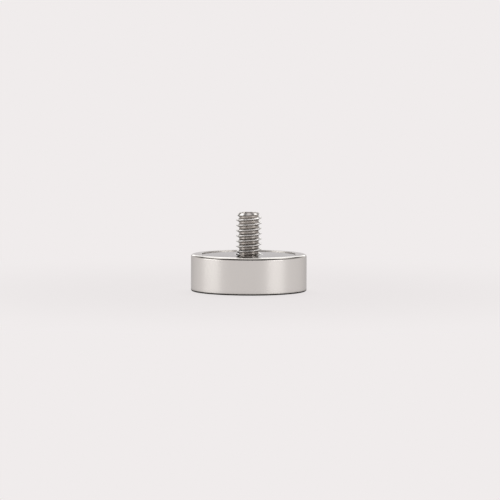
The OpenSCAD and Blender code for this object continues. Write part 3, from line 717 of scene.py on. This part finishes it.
# The floor shows the backdrop's colour to the camera and keeps a share of the object's shadow
def makeFloor():
    # The floor lies a hair under the foot, so that the two faces never fall in one plane
    reach, low = studio["floorReach"], studio["floorHeight"]
    mesh = bpy.data.meshes.new("floor")
    corners = [(-reach, -reach, low), (reach, -reach, low), (reach, reach, low), (-reach, reach, low)]
    mesh.from_pydata(corners, [], [(0, 1, 2, 3)])
    floor = bpy.data.objects.new("floor", mesh)
    bpy.context.scene.collection.objects.link(floor)
    material = bpy.data.materials.new("paleTable")
    material.use_nodes = True
    tree = material.node_tree
    tree.nodes.clear()
    colour = studio["backdrop"]
    plain = addNode(tree, "ShaderNodeEmission", {"Color": colour, "Strength": 1.0}).outputs[0]
    lit = addNode(tree, "ShaderNodeBsdfDiffuse", {"Color": colour}).outputs[0]
    clear = addNode(tree, "ShaderNodeBsdfTransparent").outputs[0]
    path = addNode(tree, "ShaderNodeLightPath").outputs
    place = addNode(tree, "ShaderNodeTexCoord").outputs["Object"]
    away = addNode(tree, "ShaderNodeVectorMath", {0: place}, operation="LENGTH").outputs["Value"]
    near = addNode(tree, "ShaderNodeMapRange", {"Value": away, "From Min": studio["shadeIn"],
        "From Max": studio["shadeOut"], "To Min": studio["shadowShare"], "To Max": 0.0},
        interpolation_type="SMOOTHSTEP").outputs[0]
    # Seen in the metal, a strip next to the foot is painted shade: a black glow in place of the backdrop
    paintedShadeStrip = addNode(tree, "ShaderNodeMapRange", {"Value": away, "From Min": studio["stripIn"],
        "From Max": studio["stripOut"], "To Min": 1.0, "To Max": 0.0}, interpolation_type="SMOOTHSTEP").outputs[0]
    shade = addNode(tree, "ShaderNodeEmission", {"Color": colour, "Strength": 0.0}).outputs[0]
    cameraMix = addNode(tree, "ShaderNodeMixShader", {0: near, 1: plain, 2: lit}).outputs[0]
    mirrorMix = addNode(tree, "ShaderNodeMixShader", {0: paintedShadeStrip, 1: plain, 2: shade}).outputs[0]
    mirrored = addNode(tree, "ShaderNodeMath", {0: path["Is Glossy Ray"], 1: path["Is Transmission Ray"]},
        operation="MAXIMUM").outputs[0]
    bounced = addNode(tree, "ShaderNodeMixShader", {0: mirrored, 1: lit, 2: mirrorMix}).outputs[0]
    seen = addNode(tree, "ShaderNodeMixShader", {0: path["Is Camera Ray"], 1: bounced, 2: cameraMix}).outputs[0]
    # Clear from below and under the foot, so that the pulling face gets light when it is looked at from there
    under = addNode(tree, "ShaderNodeNewGeometry").outputs["Backfacing"]
    covered = addNode(tree, "ShaderNodeMath", {0: away, 1: studio["clearWithin"]}, operation="LESS_THAN").outputs[0]
    seeThrough = addNode(tree, "ShaderNodeMath", {0: under, 1: covered}, operation="MAXIMUM").outputs[0]
    whole = addNode(tree, "ShaderNodeMixShader", {0: seeThrough, 1: seen, 2: clear}).outputs[0]
    addNode(tree, "ShaderNodeOutputMaterial", {"Surface": whole})
    mesh.materials.append(material)


# The room: backdrop colour low down and to the camera, a dark ceiling above
def makeWorld():
    room = {"ceiling": 0.26, "front": 0.01, "frontFrom": -0.1, "frontTo": -0.6, "bandTop": 0.2, "bandEnd": 0.44,
            "overhead": 0.95, "panelEdge": 0.955, "panelFull": 0.985}
    world = bpy.data.worlds.new("room")
    bpy.context.scene.world = world
    world.use_nodes = True
    tree = world.node_tree
    tree.nodes.clear()
    path = addNode(tree, "ShaderNodeLightPath").outputs
    way = addNode(tree, "ShaderNodeTexCoord").outputs["Generated"]
    towards = addNode(tree, "ShaderNodeSeparateXYZ", {0: way}).outputs
    # The side that the picture is taken from is the darkest
    dark = addNode(tree, "ShaderNodeMapRange", {"Value": towards["Y"], "From Min": room["frontFrom"],
        "From Max": room["frontTo"], "To Min": room["ceiling"], "To Max": room["front"]},
        interpolation_type="SMOOTHSTEP").outputs[0]
    high = addNode(tree, "ShaderNodeMapRange", {"Value": towards["Z"], "From Min": room["bandTop"],
        "From Max": room["bandEnd"]}, interpolation_type="SMOOTHSTEP").outputs[0]
    level = addNode(tree, "ShaderNodeMapRange", {"Value": high, "To Min": 1.0, "To Max": dark}).outputs[0]
    # A pale panel straight overhead, which only a level face sees from above
    panel = addNode(tree, "ShaderNodeMapRange", {"Value": towards["Z"], "From Min": room["panelEdge"],
        "From Max": room["panelFull"], "To Max": room["overhead"]}, interpolation_type="SMOOTHSTEP").outputs[0]
    lit = addNode(tree, "ShaderNodeMath", {0: level, 1: panel}, operation="MAXIMUM").outputs[0]
    shown = addNode(tree, "ShaderNodeMath", {0: lit, 1: path["Is Camera Ray"]}, operation="MAXIMUM").outputs[0]
    light = addNode(tree, "ShaderNodeBackground", {"Color": studio["backdrop"], "Strength": shown}).outputs[0]
    addNode(tree, "ShaderNodeOutputWorld", {"Surface": light})


# A soft box that faces the object. Its glow is the brightness that a mirror would show
def softBox(name, place, target, size, glow):
    lamp = bpy.data.lights.new(name, "AREA")
    lamp.shape = "RECTANGLE"
    lamp.size, lamp.size_y = size
    lamp.energy = glow * math.pi * size[0] * size[1]
    box = bpy.data.objects.new(name, lamp)
    box.location = place
    box.rotation_mode = "QUATERNION"
    box.rotation_quaternion = (Vector(target) - Vector(place)).to_track_quat("-Z", "Y")
    box.visible_camera = False
    bpy.context.scene.collection.objects.link(box)


# Azimuth is measured from the camera's side, positive to the right
def around(azimuth, distance, height):
    a = math.radians(azimuth)
    return (math.sin(a) * distance, -math.cos(a) * distance, height)


boxes = {"leftStrip": {"place": around(-80, 0.7, 0.09), "target": (0, 0, 0.05), "size": (0.52, 0.17), "glow": 1.8},
         "rightStrip": {"place": around(56, 0.7, 0.09), "target": (0, 0, 0.05), "size": (0.46, 0.17), "glow": 1.67},
         "backBox": {"place": (0, 0.85, 0.32), "target": (0, 0, 0.1), "size": (0.8, 0.36), "glow": 1.6},
         "topBox": {"place": (0, 0.5, 0.9), "target": (0, 0.1, 0), "size": (1.4, 0.62), "glow": 1.8}}

makeFloor()
makeWorld()
for name, box in boxes.items():
    softBox(name, **box)

shot = {"distance": 1.0, "height": 0.0877, "lens": 298.5, "sensor": 36.0, "aim": (0.00028, 0, 0.00989), "roll": 0.2}


def makeCamera():
    data = bpy.data.cameras.new("camera")
    data.sensor_width, data.lens = shot["sensor"], shot["lens"]
    data.clip_start, data.clip_end = 0.05, 50
    camera = bpy.data.objects.new("camera", data)
    bpy.context.scene.collection.objects.link(camera)
    place = Vector((0, -shot["distance"], shot["height"]))
    look = (Vector(shot["aim"]) - place).to_track_quat("-Z", "Y")
    camera.location = place
    camera.rotation_mode = "QUATERNION"
    camera.rotation_quaternion = look @ Quaternion((0, 0, 1), math.radians(shot["roll"]))
    bpy.context.scene.camera = camera


makeCamera()
scene = bpy.context.scene
scene.view_settings.view_transform = "Standard"
print("studio ready")
